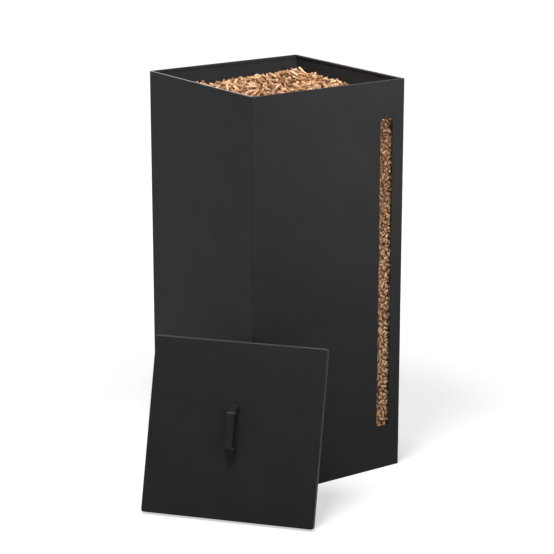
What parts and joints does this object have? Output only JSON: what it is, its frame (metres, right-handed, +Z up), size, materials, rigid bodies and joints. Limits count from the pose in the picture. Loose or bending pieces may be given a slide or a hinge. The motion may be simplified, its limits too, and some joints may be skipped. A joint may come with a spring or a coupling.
{
  "type": "pellet storage bin",
  "caption": "Tall square black sheet-steel bin filled with wood pellets, with a viewing slot in the front wall and a loose drop-in lid with a strip handle leaning on its corner.",
  "frame": {"origin": "centre of the bin's underside, on the floor", "axes": "+Z up; -Y out of the wall with the viewing slot; the slot is near that wall's +X edge; the lid leans on the corner of the -X and -Y walls"},
  "size_m": [0.5724, 0.5507, 0.8],
  "materials": {
    "black_powder_coat": "satin black powder coat on sheet steel",
    "clear_acrylic": "clear polished acrylic",
    "zinc_plate": "bright zinc plate",
    "wood_pellets": "pressed softwood pellets"
  },
  "bodies": {
    "bin": {"shell_front": "black_powder_coat", "shell_rear": "black_powder_coat", "base_pan": "black_powder_coat", "window_pane": "clear_acrylic", "pane_clamp_left": "black_powder_coat", "pane_clamp_right": "black_powder_coat", "clamp_stud_1": "zinc_plate", "clamp_stud_2": "zinc_plate", "clamp_stud_3": "zinc_plate", "clamp_stud_4": "zinc_plate", "clamp_stud_5": "zinc_plate", "clamp_stud_6": "zinc_plate", "clamp_stud_7": "zinc_plate", "clamp_stud_8": "zinc_plate", "clamp_nut_1": "zinc_plate", "clamp_nut_2": "zinc_plate", "clamp_nut_3": "zinc_plate", "clamp_nut_4": "zinc_plate", "clamp_nut_5": "zinc_plate", "clamp_nut_6": "zinc_plate", "clamp_nut_7": "zinc_plate", "clamp_nut_8": "zinc_plate", "lid_rest_1": "black_powder_coat", "lid_rest_2": "black_powder_coat", "lid_rest_3": "black_powder_coat", "lid_rest_4": "black_powder_coat", "pellet_fill": "wood_pellets"},
    "lid": {"lid_panel": "black_powder_coat", "lid_handle": "black_powder_coat", "handle_screw_1": "zinc_plate", "handle_screw_2": "zinc_plate", "handle_washer_1": "zinc_plate", "handle_washer_2": "zinc_plate", "handle_nut_1": "zinc_plate", "handle_nut_2": "zinc_plate"}
  },
  "joints": [
    {"name": "lid_lift", "type": "slide", "parent": "bin", "child": "lid", "axis": [0, 0, 1], "range_m": [0, 0.85]}
  ]
}
